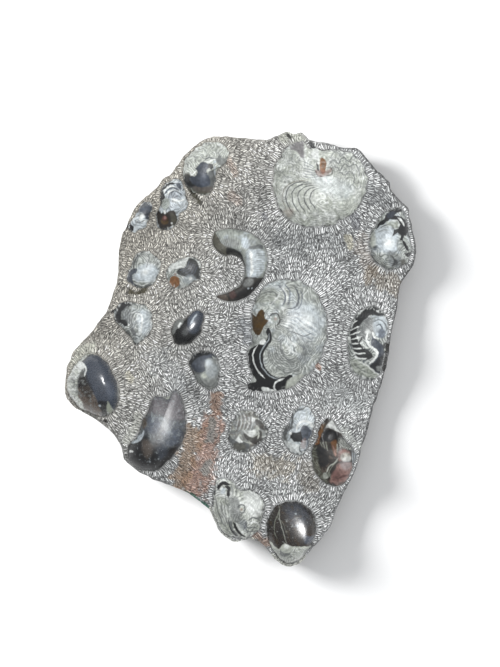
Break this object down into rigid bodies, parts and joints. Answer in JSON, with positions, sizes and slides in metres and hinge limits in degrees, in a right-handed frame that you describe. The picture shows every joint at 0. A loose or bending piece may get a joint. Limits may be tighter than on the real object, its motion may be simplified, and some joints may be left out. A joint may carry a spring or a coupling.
{
  "type": "ammonite fossil cluster slab",
  "caption": "Irregular slab of dark limestone with a chiselled face, from which polished coiled ammonite shells and one broken crescent of whorl stand out as low domes",
  "frame": {"origin": "middle of the slab's footprint, on its flat back", "axes": "+Z out of the chiselled face, +Y along the slab's long way towards the two-shell top edge, +X to the right seen from the front"},
  "size_m": [0.302, 0.374, 0.0498],
  "materials": {
    "chiselled_limestone": "matt, covered in short radiating chisel marks, with rust staining",
    "pale_calcite": "polished, cream to bluish white with dark suture lines",
    "dark_calcite": "polished, near-black to slate grey"
  },
  "bodies": {
    "root": {"matrix": "chiselled_limestone", "ammonite_corner_dome": "pale_calcite", "ammonite_red_eye": "pale_calcite", "ammonite_left_edge": "pale_calcite", "ammonite_grey_swirl": "pale_calcite", "ammonite_orange_eye": "pale_calcite", "ammonite_great_top": "pale_calcite", "ammonite_right_shoulder": "pale_calcite", "ammonite_great_centre": "pale_calcite", "ammonite_right_edge": "pale_calcite", "ammonite_marbled_left": "pale_calcite", "ammonite_teardrop": "dark_calcite", "ammonite_snail": "pale_calcite", "ammonite_west_dome": "dark_calcite", "ammonite_south_west_dome": "dark_calcite", "ammonite_flat_cut": "pale_calcite", "ammonite_small_hooked": "pale_calcite", "ammonite_hollow_brown": "pale_calcite", "ammonite_bottom_swirl": "pale_calcite", "ammonite_bottom_dome": "dark_calcite", "whorl_crescent": "pale_calcite"}
  },
  "joints": []
}
